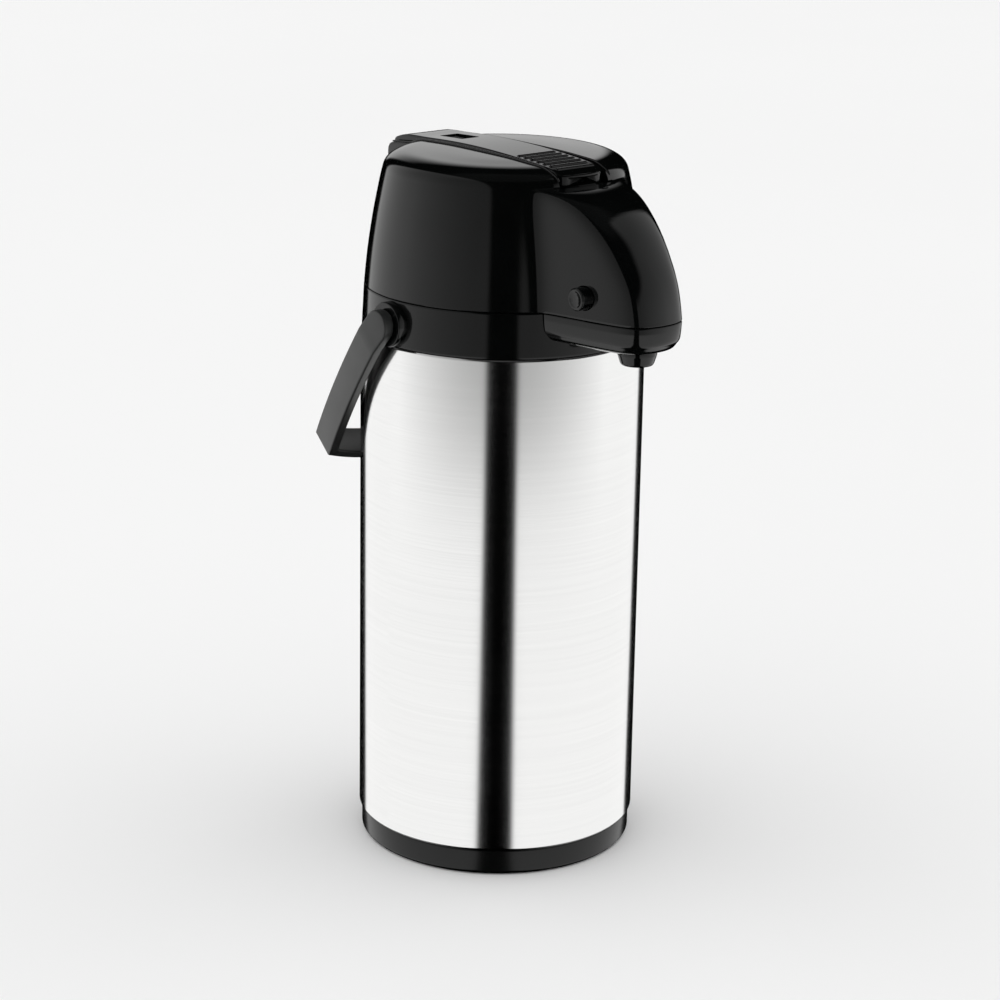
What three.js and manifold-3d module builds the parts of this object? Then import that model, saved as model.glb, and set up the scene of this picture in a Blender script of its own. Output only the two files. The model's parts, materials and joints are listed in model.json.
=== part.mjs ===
// Thermal coffee airpot: a steel-cased vacuum flask with a lever pump head, a spout and a carrying handle.
// Millimetres. Z is up with Z=0 under the base, the body axis is the Z axis, the spout points to -Y
// and the carrying handle turns about a line along X.
import * as THREE from "three";
import { mergeVertices } from "three/addons/utils/BufferGeometryUtils.js";
import Module from "manifold-3d";

const wasm = await Module();
wasm.setup();

// ---- driving dimensions ----
const BODY_R = 77; // steel casing
const CASE_Z0 = 14.6;
const CASE_Z1 = 289.2;
const BASE_R = 75.5;
const COLLAR_Z0 = 289.5;
const SEAM_Z = 313.7; // top of the collar and of the lower spout half
const HEAD_Z = 314; // bottom of the head
const WALL = 2.4; // moulded head and spout wall
const PIVOT_Z = 301.2; // handle pivot
const STRAP_T = 6; // handle strap thickness
const STRAP_W = 17.2;
const STRAP_TURN = THREE.MathUtils.degToRad(42.5); // rest angle of the arms behind straight down
const STRAP_X = 84.2; // mid-thickness of the strap at the pivot
const STRAP_V = 112.8; // arm length to the grip's mid-thickness
const GRIP_BOW = 14.5; // how far the grip bows away from the body
const HINGE = { y: 81.3, z: 309 }; // lid hinge
const LEVER_PIN = { y: 68, z: 374 };
const SLOT_X = 16.7; // half width of the lever's slot
const LEVER_X = 16;
const SLOT_FRONT = -65.2;
const SPINE = { x: 19.5, y: 77.6, top: 381 };
const WINDOW = { x: 6.3, y0: 29.5, y1: 49 };
const BUTTON = { y: -94, z: 325.6, r: 6, face: 31.6 };
const NOZZLE_Y = -107.5;
const PORT_Z = 306.5; // delivery pipe
const AIR_Y = 20; // air port in the stopper

// ---- materials ----
const finish = (color, roughness, metalness = 0) =>
  new THREE.MeshStandardMaterial({ color, roughness, metalness });
const STEEL = finish(0xc9cbcc, 0.32, 1);
const GLOSS = finish(0x101112, 0.22);
const SATIN = finish(0x1d1e1f, 0.45);
const WHITE = finish(0xd9dad6, 0.5);
const RUBBER = finish(0x1a1a1a, 0.85);
const SILICONE = finish(0xc8c4b8, 0.7);
const BRIGHT = finish(0xb9bcc0, 0.3, 1);

// ---- solids ----
function solid(geometry) {
  const plain = geometry.index ? geometry.toNonIndexed() : geometry.clone();
  plain.deleteAttribute("normal");
  plain.deleteAttribute("uv");
  const merged = mergeVertices(plain, 1e-4);
  const index = merged.index.array;
  const kept = [];
  for (let i = 0; i < index.length; i += 3) {
    const [a, b, c] = [index[i], index[i + 1], index[i + 2]];
    if (a !== b && b !== c && c !== a) kept.push(a, b, c);
  }
  const build = (order) =>
    new wasm.Manifold(
      new wasm.Mesh({
        numProp: 3,
        vertProperties: merged.attributes.position.array,
        triVerts: new Uint32Array(order),
      }),
    );
  const made = build(kept);
  if (made.volume() > 0) return made;
  for (let i = 0; i < kept.length; i += 3) [kept[i], kept[i + 1]] = [kept[i + 1], kept[i]];
  return build(kept);
}

function geometryOf(shape) {
  const data = shape.getMesh();
  return new THREE.BufferGeometry()
    .setAttribute("position", new THREE.BufferAttribute(data.vertProperties, 3))
    .setIndex(new THREE.BufferAttribute(data.triVerts, 1));
}

const cut = (shape, ...tools) => tools.reduce((all, tool) => all.subtract(tool), shape);
const join = (...shapes) => shapes.reduce((all, shape) => all.add(shape));

// A profile of [radius, z] turned about the Z axis.
function turned(points, sides = 48) {
  const closed = points[0][0] > 0;
  const all = closed ? [...points, points[0]] : points;
  const profile = all.map(([r, z]) => new THREE.Vector2(r, z));
  return solid(new THREE.LatheGeometry(profile, sides).rotateX(Math.PI / 2));
}

const tube = (inner, outer, z0, z1, sides = 40) =>
  turned([[inner, z0], [outer, z0], [outer, z1], [inner, z1]], sides);

function box(x0, x1, y0, y1, z0, z1) {
  const made = new THREE.BoxGeometry(x1 - x0, y1 - y0, z1 - z0);
  return solid(made.translate((x0 + x1) / 2, (y0 + y1) / 2, (z0 + z1) / 2));
}

function rod(radius, length, axis, x, y, z, sides = 24) {
  const made = new THREE.CylinderGeometry(radius, radius, length, sides);
  if (axis === "x") made.rotateZ(Math.PI / 2);
  if (axis === "z") made.rotateX(Math.PI / 2);
  return solid(made.translate(x, y, z));
}

// A flat outline [y, z] pushed along X from x0 to x1.
function across(outline, x0, x1) {
  const shape = new THREE.Shape(outline.map(([y, z]) => new THREE.Vector2(y, z)));
  const made = new THREE.ExtrudeGeometry(shape, { depth: x1 - x0, bevelEnabled: false });
  const axes = new THREE.Matrix4().makeBasis(
    new THREE.Vector3(0, 1, 0),
    new THREE.Vector3(0, 0, 1),
    new THREE.Vector3(1, 0, 0),
  );
  return solid(made.applyMatrix4(axes).translate(x0, 0, 0));
}

// A skin over closed loops of points, one loop above the other, closed at both ends.
function skinned(loops) {
  const n = loops[0].length;
  const spots = loops.flat();
  const first = centreOf(loops[0]);
  const last = centreOf(loops[loops.length - 1]);
  const faces = [];
  for (let row = 0; row + 1 < loops.length; row++) {
    for (let i = 0; i < n; i++) {
      const a = row * n + i;
      const b = row * n + ((i + 1) % n);
      faces.push([spots[a], spots[b], spots[b + n]], [spots[a], spots[b + n], spots[a + n]]);
    }
  }
  for (let i = 0; i < n; i++) {
    const top = (loops.length - 1) * n;
    faces.push([first, spots[(i + 1) % n], spots[i]]);
    faces.push([last, spots[top + i], spots[top + ((i + 1) % n)]]);
  }
  const flat = faces.flat().flatMap((v) => [v.x, v.y, v.z]);
  const position = new THREE.Float32BufferAttribute(flat, 3);
  return solid(new THREE.BufferGeometry().setAttribute("position", position));
}

function centreOf(loop) {
  return loop.reduce((sum, v) => sum.add(v), new THREE.Vector3()).divideScalar(loop.length);
}

// A round wire or pipe along a path.
function swept(path, outer, inner, steps, sides) {
  const shape = new THREE.Shape().absarc(0, 0, outer, 0, 2 * Math.PI);
  if (inner) shape.holes.push(new THREE.Path().absarc(0, 0, inner, 0, 2 * Math.PI, true));
  const made = new THREE.ExtrudeGeometry(shape, { extrudePath: path, steps, curveSegments: sides });
  return solid(made);
}

class Coil extends THREE.Curve {
  constructor(radius, z0, z1, turns) {
    super();
    Object.assign(this, { radius, z0, z1, turns });
  }
  getPoint(t) {
    const angle = 2 * Math.PI * this.turns * t;
    const z = this.z0 + (this.z1 - this.z0) * t;
    return new THREE.Vector3(this.radius * Math.cos(angle), this.radius * Math.sin(angle), z);
  }
}

// ---- the plan outline shared by the head, the lid plate and the lower spout half ----
// A circle blended with a tapered beak that has a slightly arched nose.
const BEAK = { taper: 0.225, bulge: 11.6, corner: 22, blend: 26, root: 66 };

function reach(angle, R, F, W) {
  const s = Math.abs(Math.sin(angle));
  const c = Math.cos(angle);
  if (c < 0.05) return R;
  const side = (W + BEAK.root * BEAK.taper) / Math.max(s + BEAK.taper * c, 1e-3);
  const q = (BEAK.bulge * s * s) / 900;
  const nose = (2 * F) / (c + Math.sqrt(c * c + 4 * q * F));
  const beak = (side ** -BEAK.corner + nose ** -BEAK.corner) ** (-1 / BEAK.corner);
  return (R ** BEAK.blend + beak ** BEAK.blend) ** (1 / BEAK.blend);
}

// Angles from the nose round the outline, closer together over the beak.
const HALF_ANGLES = [
  0, 4, 8, 10.5, 13, 17, 21, 24, 27.5, 32, 38, 46, 56, 68, 80, 92, 104, 116, 128, 140, 152, 166,
];
const ANGLES = [
  ...HALF_ANGLES,
  180,
  ...HALF_ANGLES.slice(1).reverse().map((a) => -a),
].map(THREE.MathUtils.degToRad);

const outlineAt = (z, R, F, W) =>
  ANGLES.map((a) => {
    const r = reach(a, R, F, W);
    return new THREE.Vector3(r * Math.sin(a), -r * Math.cos(a), z);
  });

// Head levels: height, radius of the round part, reach of the beak, half width at the beak's root.
// Above 377 the beak has ended and only the round part goes on.
const HEAD = [
  [314, 75.2, 127.8, 32.3],
  [324, 74.3, 125.9, 31.9],
  [334, 73.2, 122.6, 31.4],
  [344, 71.8, 117, 30.8],
  [354, 70.2, 109.8, 30.1],
  [363, 68.5, 101, 29.3],
  [370, 67.1, 91.5, 28.4],
  [374, 66.2, 82, 27.6],
  [375.6, 65.8, 73.5, 27],
  [376.4, 65.6, 64, 26],
  [377.2, 65.4, 50, 24],
  [380.6, 63.6, 48, 24],
  [383, 60.4, 46, 22],
  [384.7, 56, 42, 20],
  [385.7, 47, 36, 18],
  [386.3, 34, 26, 12],
  [386.6, 16, 12, 6],
];

function headSkin(inset, bottom, levels = HEAD) {
  const loops = levels.map(([z, R, F, W], i) => {
    const drop = inset * THREE.MathUtils.smoothstep(z, 360, 384);
    return outlineAt(i ? z - drop : bottom, R - inset, F - inset, W - inset);
  });
  return skinned(loops);
}

// ---- base ----
function swivelBase() {
  return turned([
    [0, 0], [59.7, 0], [59.7, 1.5], [68.3, 1.5], [68.3, 0], [73.6, 0], [75.5, 1.9], [75.5, 14.2],
    [73, 14.2], [73, 2.8], [12, 2.8], [12, 11], [6.3, 11], [6.3, 7], [9.6, 7], [9.6, 2.8], [0, 2.8],
  ], 36);
}

function baseClip() {
  const shape = new THREE.Shape();
  const gap = 0.5;
  shape.absarc(0, 0, 9.2, gap, 2 * Math.PI - gap);
  shape.absarc(0, 0, 5.3, 2 * Math.PI - gap, gap, true);
  const made = new THREE.ExtrudeGeometry(shape, { depth: 0.9, bevelEnabled: false, curveSegments: 14 });
  return solid(made.translate(0, 0, 5.2));
}

function bottomCover() {
  return turned([
    [0, 3.2], [6, 3.2], [6, 4.9], [5, 4.9], [5, 6.4], [6, 6.4], [6, 15.8], [32, 15.8], [32, 6.5], [38, 6.5],
    [38, 15.8], [75.8, 15.8], [75.8, 26], [73.6, 26], [73.6, 18], [0, 18],
  ], 28);
}

// ---- body ----
function casing() {
  return turned([
    [74.2, 14.6], [76.2, 14.6], [77, 15.8], [77, 288.4], [76.3, 289.2], [73.5, 289.2],
    [73.5, 288.4], [76.2, 288.4], [76.2, 15.4], [74.2, 15.4],
  ], 48);
}

// Two glass walls joined at the lip, with the space between them open through a pip under the flask.
function flask() {
  return turned([
    [0, 33.6], [54, 34.8], [65, 42], [67.8, 54], [67.8, 235], [62, 254], [40, 268.8], [29, 278.4], [29, 286.4],
    [29.8, 286.4], [29.8, 279], [42, 270.8], [63.6, 256], [69.7, 236], [69.7, 53], [66.6, 40.4],
    [54.6, 32.8], [1.2, 31.4], [1.2, 30], [55.2, 31.2], [67.8, 39.4], [71, 53], [71, 236.4],
    [65, 257.4], [43, 272], [31, 279.8], [31, 288], [27.6, 288], [27.6, 277.6], [39, 267.6],
    [60.8, 252.8], [66.5, 234.6], [66.5, 54.4], [64, 43.2], [53.4, 36.4], [0, 35.1],
  ], 20);
}

function flaskCushion() {
  return turned([
    [3, 18.4], [56, 18.4], [70, 26], [73.2, 32], [73.2, 44], [71.6, 44], [71.4, 43.4], [68.2, 37.4], [56, 30.4], [3, 28.6],
  ], 20);
}

const sideRods = (radius, length, x, sides) =>
  [-x, x].map((at) => rod(radius, length, "x", at, 0, PIVOT_Z, sides));

function collar() {
  const ring = turned([
    [73.6, 289.5], [76.4, 289.5], [76.4, 291], [75.3, 313], [74.8, 313.7], [72.2, 313.7], [72.2, 294.3],
    [37, 294.3], [37, 300], [33.3, 300], [33.3, 291.2], [73.6, 291.2],
  ], 48);
  const bosses = sideRods(12, 8.4, 76.2, 32).map((boss) => boss.subtract(box(-70, 70, -20, 20, 280, 320)));
  const bossed = join(ring, ...bosses);
  const lugs = [-15.5, 15.5].map((x) =>
    join(box(x - 3.5, x + 3.5, 73.6, HINGE.y, 303, 313.3), rod(4.3, 7, "x", x, HINGE.y, HINGE.z)));
  const pipeWay = box(-10, 10, -80, -70, 299.5, 320);
  const screwWays = [-20, 20].map((x) => rod(1.9, 12, "y", x, -72, 304.5, 12));
  return cut(
    join(bossed, ...lugs),
    ...sideRods(4.2, 20, 76, 24),
    ...sideRods(7, 4.2, 69.2, 24),
    rod(2.2, 60, "x", 0, HINGE.y, HINGE.z, 16),
    pipeWay,
    ...screwWays,
  );
}

const neckGasket = () => tube(27.8, 32.6, 288.3, 290.9, 28);

// ---- stopper, pipes and valve ----
function stopper() {
  const plug = turned([
    [0, 312], [9.3, 312], [10.5, 310.8], [10.5, 303.5], [36.5, 303.5], [36.5, 300.3], [32.8, 300.3], [32.8, 296],
    [26.6, 296], [26.6, 284.4], [24.3, 284.4], [24.3, 279.6], [26.6, 279.6], [26.6, 272], [24, 268],
    [6.3, 268], [6.3, 278], [4, 278], [4, 308], [0, 308],
  ], 20);
  return cut(plug, rod(4.95, 36, "y", 0, -22, PORT_Z, 20), rod(2, 50, "z", 0, AIR_Y, 290, 14));
}

const stopperGasket = () => tube(24.6, 27.1, 280, 284, 20);

// The tube's foot is drawn in so that the check ball can't climb it.
const dipTube = () =>
  turned([[3.1, 49.9], [6, 49.9], [6, 277.6], [4.6, 277.6], [4.6, 51.4], [3.1, 51.4]], 16);

function footValve() {
  return turned([
    [3, 37.4], [8, 37.4], [8, 58], [6.3, 58], [6.3, 49.6], [4.4, 49.6], [4.4, 41.4], [3, 40.2],
  ], 16);
}

const checkBall = () => solid(new THREE.SphereGeometry(3.7, 12, 8).translate(0, 0, 43));

function deliveryPipe() {
  const path = new THREE.CatmullRomCurve3([
    new THREE.Vector3(0, -5, PORT_Z),
    new THREE.Vector3(0, -50, PORT_Z),
    new THREE.Vector3(0, -96, PORT_Z),
    new THREE.Vector3(0, -104.5, PORT_Z - 2.6),
    new THREE.Vector3(0, NOZZLE_Y, PORT_Z - 9),
    new THREE.Vector3(0, NOZZLE_Y, 292.7),
  ]);
  return swept(path, 4.5, 3.3, 14, 4);
}

function nozzle() {
  return turned([
    [5, 290.1], [8.3, 290.1], [8.9, 290.7], [10.3, 295.6], [10.3, 300.2], [7.2, 300.2], [5, 296.8],
  ], 24).translate([0, NOZZLE_Y, 0]);
}

// The lower half of the spout: a tray with rounded lower edges.
const TRAY_Z = 297.8;

function spoutLoops(rows, lift) {
  return rows.map(([share, inset]) =>
    outlineAt(0, 60, 127.8 - inset, 32.3 - inset * 0.9).map((v) => {
      const low = TRAY_Z + lift;
      return new THREE.Vector3(v.x, v.y, low + (SEAM_Z - low) * share);
    }));
}

function spoutHousing() {
  const outside = skinned(spoutLoops([[0, 9], [0.06, 6.2], [0.16, 3.6], [0.34, 1.5], [0.6, 0.4], [1, 0]], 0));
  const inside = skinned(
    spoutLoops([[0, 11], [0.2, 5.2], [0.5, 2.6], [1.4, 2.4]], 2.2),
  );
  const bodySpace = rod(76.75, 60, "z", 0, 0, 300, 52);
  const lugs = [-20, 20].map((x) => box(x - 4, x + 4, -86, -60, 299, 311));
  const lugHoles = [-20, 20].map((x) => rod(1.9, 24, "y", x, -74, 304.5, 12));
  const tray = join(outside.subtract(inside), ...lugs);
  return cut(tray, bodySpace, rod(10.65, 20, "z", 0, NOZZLE_Y, 294, 32), ...lugHoles);
}

const spoutScrew = (x) =>
  join(rod(3.2, 2.2, "y", x, -66.4, 304.5, 14), rod(1.5, 17, "y", x, -75.4, 304.5, 10));

// ---- lid ----
// The lever's side view: top line from the rear edge to the front end.
const LEVER_TOP = new THREE.SplineCurve([
  new THREE.Vector2(77.2, 383),
  new THREE.Vector2(72, 384.9),
  new THREE.Vector2(56, 386.6),
  new THREE.Vector2(36, 387.5),
  new THREE.Vector2(8, 388),
  new THREE.Vector2(-24, 387),
  new THREE.Vector2(-46, 385.6),
  new THREE.Vector2(-57, 384),
  new THREE.Vector2(-62.4, 382.2),
]);
const leverTopLine = (from, to, count) =>
  Array.from({ length: count + 1 }, (_, i) => LEVER_TOP.getPoint(from + ((to - from) * i) / count));
const topAt = (y) => leverTopLine(0, 1, 80).reduce((a, b) => (Math.abs(b.x - y) < Math.abs(a.x - y) ? b : a)).y;

// Height of the head's round top.
function domeZ(x, y) {
  const r = Math.hypot(x, y);
  const i = HEAD.findIndex(([z, R]) => z > 377 && R < r);
  if (i < 0) return HEAD[HEAD.length - 1][0];
  const [[z0, r0], [z1, r1]] = [HEAD[i - 1], HEAD[i]];
  return z0 + ((z1 - z0) * (r0 - Math.min(r, r0))) / (r0 - r1);
}

// A low bead along the lever's slot, turned down over the round part's shoulder at the front.
function rail(side) {
  const ys = [-61, -56, -42, -24, 0, 24, 44, 60, 76];
  const x = side * (SLOT_X + 1);
  const front = [[-62.8, 378.6], [-64, 379], [-63.6, 381.2]];
  const top = [...front, ...ys.map((y) => [y, y > 62 ? 382.6 + (76 - y) * 0.03 : domeZ(x, y) + 0.5])];
  const under = ys.map((y) => [y, domeZ(x, y) - 3.4]).reverse();
  return across([...top, ...under], Math.min(x - 1, x + 1), Math.max(x - 1, x + 1));
}

const SCREWS = [[-44, 34], [44, 34], [-40, -32], [40, -32]];

function spineBlock(x, y, top) {
  const round = 5;
  return across([
    [30, HEAD_Z], [y, HEAD_Z], [y, top - round], [y - 1.5, top - 1.5], [y - round, top + 0.4], [30, top + 4.5],
  ], -x, x);
}

function headCover() {
  const outer = join(headSkin(0, HEAD_Z), spineBlock(SPINE.x, SPINE.y, SPINE.top));
  const inner = join(headSkin(WALL, HEAD_Z - 2, HEAD.filter((_, i) => ![3, 5, 8].includes(i))), spineBlock(SPINE.x - 2.5, SPINE.y - 2.5, SPINE.top - 3)
    .translate([0, 0, -0.8]));
  const floorCut = box(-90, 90, -140, 90, 290, HEAD_Z);
  const innerLow = box(-(SPINE.x - 2.5), SPINE.x - 2.5, 30, SPINE.y - 2.5, 300, 330);
  const shell = cut(join(outer, rail(-1), rail(1)), inner, innerLow);
  const knuckle = join(
    rod(4.3, 23.2, "x", 0, HINGE.y, HINGE.z),
    box(-11.6, 11.6, 76.9, 80.4, HINGE.z, 332),
  );
  const posts = SCREWS.map(([x, y]) => rod(4.5, 66, "z", x, y, 350.2, 10));
  const postHoles = SCREWS.map(([x, y]) => rod(1.9, 24, "z", x, y, 317, 10));
  const bearings = [-1, 1].map((s) => box(s > 0 ? 16.8 : -19.4, s > 0 ? 19.4 : -16.8, 60, 74, 367, 380));
  return cut(
    join(shell, knuckle, ...posts, ...bearings),
    box(-SLOT_X, SLOT_X, SLOT_FRONT, 90, 372, 400),
    box(-SLOT_X, SLOT_X, -90, 0, 377, 400),
    box(-SLOT_X, SLOT_X, 58, 90, 366, 400),
    rod(2.2, 37.6, "x", 0, LEVER_PIN.y, LEVER_PIN.z, 16),
    rod(2.2, 60, "x", 0, HINGE.y, HINGE.z, 16),
    rod(BUTTON.r + 0.4, 80, "x", 0, BUTTON.y, BUTTON.z, 22),
    floorCut.subtract(box(-12, 12, 76, 90, 290, HEAD_Z)),
    ...postHoles,
  );
}

function lidPlate() {
  const t = WALL + 0.5;
  const slab = skinned([
    outlineAt(314.4, 75.2 - t, 127.8 - t, 32.3 - t),
    outlineAt(317, 75 - t, 127.4 - t, 32.3 - t),
  ]);
  const ways = SCREWS.map(([x, y]) => join(rod(1.9, 8, "z", x, y, 316, 10), rod(3.8, 4, "z", x, y, 313.7, 12)));
  const centring = tube(32.2, 33.6, 316.5, 320, 28);
  return cut(join(slab, centring), rod(3, 8, "z", 0, AIR_Y, 316, 18), ...ways);
}

const lidScrew = (x, y) => join(rod(3.3, 1.2, "z", x, y, 315, 12), rod(1.5, 10, "z", x, y, 320.4, 10));
const airSeal = () =>
  turned([[3.3, 303.8], [6.3, 303.8], [6.3, 314.1], [3.3, 314.1]], 24).translate([0, AIR_Y, 0]);

// ---- pump ----
const PUMP = { bottom: 317.3, top: 341.2, folds: 5, crest: 31, root: 25, wall: 1 };

function bellows() {
  const outside = [[PUMP.root, PUMP.bottom]];
  const step = (PUMP.top - PUMP.bottom) / PUMP.folds;
  for (let i = 0; i < PUMP.folds; i++) {
    const z = PUMP.bottom + i * step;
    outside.push([PUMP.crest, z + step * 0.5], [PUMP.root, z + step]);
  }
  const inside = outside.map(([r, z]) => [r - PUMP.wall * 1.3, z]).reverse();
  return turned([...outside, ...inside], 20);
}

const returnSpring = () => swept(new Coil(13, PUMP.bottom + 1.4, PUMP.top - 1.6, 4), 1.1, 0, 52, 3);

function plunger() {
  return turned([
    [0, 341.5], [30, 341.5], [30, 344], [9.5, 345.5], [6, 348], [6, 363], [5.2, 367.2], [3, 369.4], [0, 370],
  ], 24);
}

// ---- lever ----
function lever() {
  const crown = leverTopLine(0, 1, 20).map((v) => [v.x, v.y]);
  const body = across([
    ...crown, [-63.6, 381.2], [-64.2, 375.4], [-60, 374.6], [40, 374.6], [62, 370.5], [74.6, 375.4], [77.2, 377.6],
  ], -LEVER_X, LEVER_X);
  const under = leverTopLine(0.12, 0.985, 16).map((v) => [v.x, v.y - 3]);
  const hollow = across([...under, [-60.8, 360], [57, 360]], -LEVER_X + 2.2, LEVER_X - 2.2);
  const pocketBlock = box(-8.8, 8.8, WINDOW.y0 - 2.5, WINDOW.y1 + 2.5, 381.6, 387.4);
  const pad = box(-5, 5, -8, 8, 370.4, 387);
  const hub = rod(5.2, 2 * LEVER_X, "x", 0, LEVER_PIN.y, LEVER_PIN.z, 24);
  const ribs = Array.from({ length: 7 }, (_, i) => {
    const y = -25 - 5.1 * i;
    return box(-12.6, 12.6, y - 1, y + 1, topAt(y) - 2, topAt(y) + 0.7);
  });
  return cut(
    join(body.subtract(hollow), hub, pocketBlock, pad, ...ribs),
    box(-WINDOW.x, WINDOW.x, WINDOW.y0, WINDOW.y1, 383.6, 400),
    box(-2.4, 2.4, 31, 47.6, 370, 390),
    rod(2.2, 60, "x", 0, LEVER_PIN.y, LEVER_PIN.z, 16),
  );
}

function lockSlider() {
  return join(box(-5.9, 5.9, 39.2, 48.6, 384, 386.6), box(-2, 2, 42.4, 45.4, 378, 385));
}

// ---- buttons ----
function button(side) {
  const stem = new THREE.LatheGeometry([
    [0, 18], [7.6, 18], [7.6, 20.4], [6, 20.4], [6, BUTTON.face - 1], [5.1, BUTTON.face], [0, BUTTON.face],
  ].map(([r, z]) => new THREE.Vector2(r, z)), 22);
  return solid(stem.rotateZ(-side * Math.PI / 2).translate(0, BUTTON.y, BUTTON.z));
}

// ---- handle ----
// The strap's middle line is drawn in its own plane, X against distance from the pivot. Its arms close in
// slowly at the pivot and faster lower down, and the grip bows away from the body.
function armX(v) {
  const below = Math.max(v - 12, 0);
  return STRAP_X - 0.15 * below - 0.0007 * below * below;
}

function strapLine() {
  const corner = armX(STRAP_V);
  const arm = [-STRAP_W / 2, 12, 34, 56, 76, 95].map((v) => [armX(v), v]);
  const grip = [1, 0.82, 0.62, 0.42, 0.21].map((share) => [corner * share, STRAP_V + GRIP_BOW * (1 - share ** 2)]);
  const half = [...arm, ...grip];
  const other = half.map(([x, v]) => [-x, v]).reverse();
  return [...half, [0, STRAP_V + GRIP_BOW], ...other].map(([x, v]) => new THREE.Vector2(x, v));
}

// The line moved sideways by the given distance, with mitred corners.
function offset(line, distance) {
  return line.map((point, i) => {
    const before = line[Math.max(i, 1) - 1];
    const after = line[Math.min(i, line.length - 2) + 1];
    const first = point.clone().sub(i ? before : point).normalize();
    const second = after.clone().sub(i < line.length - 1 ? point : before).normalize();
    const way = (i ? first : second).clone().add(second).normalize();
    const normal = new THREE.Vector2(way.y, -way.x);
    const mitre = Math.max(normal.x * second.y - normal.y * second.x, 0.5);
    return point.clone().addScaledVector(normal, distance / mitre);
  });
}

function handle() {
  const line = strapLine();
  const outline = [...offset(line, STRAP_T / 2), ...offset(line, -STRAP_T / 2).reverse()];
  const bevel = 0.9;
  const strap = solid(
    new THREE.ExtrudeGeometry(new THREE.Shape(outline), {
      depth: STRAP_W - 2 * bevel,
      bevelEnabled: true,
      bevelThickness: bevel,
      bevelSize: bevel,
      bevelOffset: -bevel,
      bevelSegments: 1,
    }).translate(0, 0, -STRAP_W / 2 + bevel),
  );
  const ends = join(
    rod(STRAP_W / 2 - 0.1, 200, "x", 0, 0, 0, 28),
    box(-100, 100, 0, 150, -STRAP_W / 2 - 1, STRAP_W / 2 + 1),
  );
  const s = Math.sin(STRAP_TURN);
  const c = Math.cos(STRAP_TURN);
  const place = new THREE.Matrix4().makeBasis(
    new THREE.Vector3(1, 0, 0),
    new THREE.Vector3(0, s, -c),
    new THREE.Vector3(0, c, s),
  );
  const turnedStrap = geometryOf(strap.intersect(ends)).applyMatrix4(place).translate(0, 0, PIVOT_Z);
  return cut(solid(turnedStrap), ...sideRods(4.2, 8, 81.6, 20));
}

const pivotPin = (side) =>
  join(rod(4, 17, "x", side * 76.6, 0, PIVOT_Z, 18), rod(6.6, 1.8, "x", side * 68.4, 0, PIVOT_Z, 18));

// ---- assembly ----
const part = new THREE.Group();
function add(name, shape, material) {
  const made = new THREE.Mesh(geometryOf(shape), material);
  made.name = name;
  made.geometry.computeVertexNormals();
  part.add(made);
}

add("swivel_base", swivelBase(), SATIN);
add("foot_ring", tube(60, 68, 0, 1.2, 36), RUBBER);
add("base_clip", baseClip(), BRIGHT);
add("bottom_cover", bottomCover(), SATIN);
add("outer_casing", casing(), STEEL);
add("vacuum_flask", flask(), BRIGHT);
add("flask_cushion", flaskCushion(), RUBBER);
add("collar_ring", collar(), GLOSS);
add("neck_gasket", neckGasket(), SILICONE);
add("stopper", stopper(), WHITE);
add("stopper_gasket", stopperGasket(), SILICONE);
add("dip_tube", dipTube(), WHITE);
add("foot_valve", footValve(), WHITE);
add("check_ball", checkBall(), BRIGHT);
add("delivery_pipe", deliveryPipe(), SILICONE);
add("nozzle", nozzle(), GLOSS);
add("spout_housing", spoutHousing(), GLOSS);
add("spout_screw_left", spoutScrew(-20), BRIGHT);
add("spout_screw_right", spoutScrew(20), BRIGHT);
add("head_cover", headCover(), GLOSS);
add("lid_plate", lidPlate(), SATIN);
SCREWS.forEach(([x, y], i) => add("lid_screw_" + (i + 1), lidScrew(x, y), BRIGHT));
add("air_seal", airSeal(), SILICONE);
add("lid_hinge_pin", rod(2, 38, "x", 0, HINGE.y, HINGE.z, 16), BRIGHT);
add("bellows", bellows(), RUBBER);
add("return_spring", returnSpring(), BRIGHT);
add("plunger", plunger(), WHITE);
add("lever", lever(), GLOSS);
add("lever_pin", rod(2, 36.8, "x", 0, LEVER_PIN.y, LEVER_PIN.z, 16), BRIGHT);
add("lock_slider", lockSlider(), SATIN);
add("button_left", button(-1), GLOSS);
add("button_right", button(1), GLOSS);
add("handle", handle(), SATIN);
add("pivot_pin_left", pivotPin(-1), BRIGHT);
add("pivot_pin_right", pivotPin(1), BRIGHT);

export default part;
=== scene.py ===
import json
import math

import bmesh
import bpy
import numpy as np
from mathutils import Matrix, Vector


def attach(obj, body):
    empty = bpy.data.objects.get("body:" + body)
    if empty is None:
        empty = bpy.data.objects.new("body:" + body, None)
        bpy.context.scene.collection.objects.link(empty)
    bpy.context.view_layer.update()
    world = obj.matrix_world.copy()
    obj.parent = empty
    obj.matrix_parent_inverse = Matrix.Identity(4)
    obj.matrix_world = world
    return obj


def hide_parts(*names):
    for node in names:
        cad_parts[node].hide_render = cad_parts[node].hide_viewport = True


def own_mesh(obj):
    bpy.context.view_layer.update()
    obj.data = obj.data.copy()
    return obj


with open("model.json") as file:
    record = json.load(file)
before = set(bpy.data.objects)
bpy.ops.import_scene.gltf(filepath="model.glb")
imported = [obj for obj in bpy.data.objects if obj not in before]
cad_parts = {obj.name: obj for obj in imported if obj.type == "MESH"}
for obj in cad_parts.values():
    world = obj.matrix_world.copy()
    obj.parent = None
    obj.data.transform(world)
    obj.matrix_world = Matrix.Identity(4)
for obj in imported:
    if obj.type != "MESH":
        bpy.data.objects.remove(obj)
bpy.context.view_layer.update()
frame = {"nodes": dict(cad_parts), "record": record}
MM = 0.001

# ---- camera: the photograph's view, 40 degrees round from the spout's axis; lengths in metres, FOCAL in mm ----
AZIMUTH, PITCH, ROLL = math.radians(-40), math.radians(16.89), math.radians(0.98)
DISTANCE, HEIGHT, FOCAL = 1.5, 0.64634, 102.3


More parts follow.
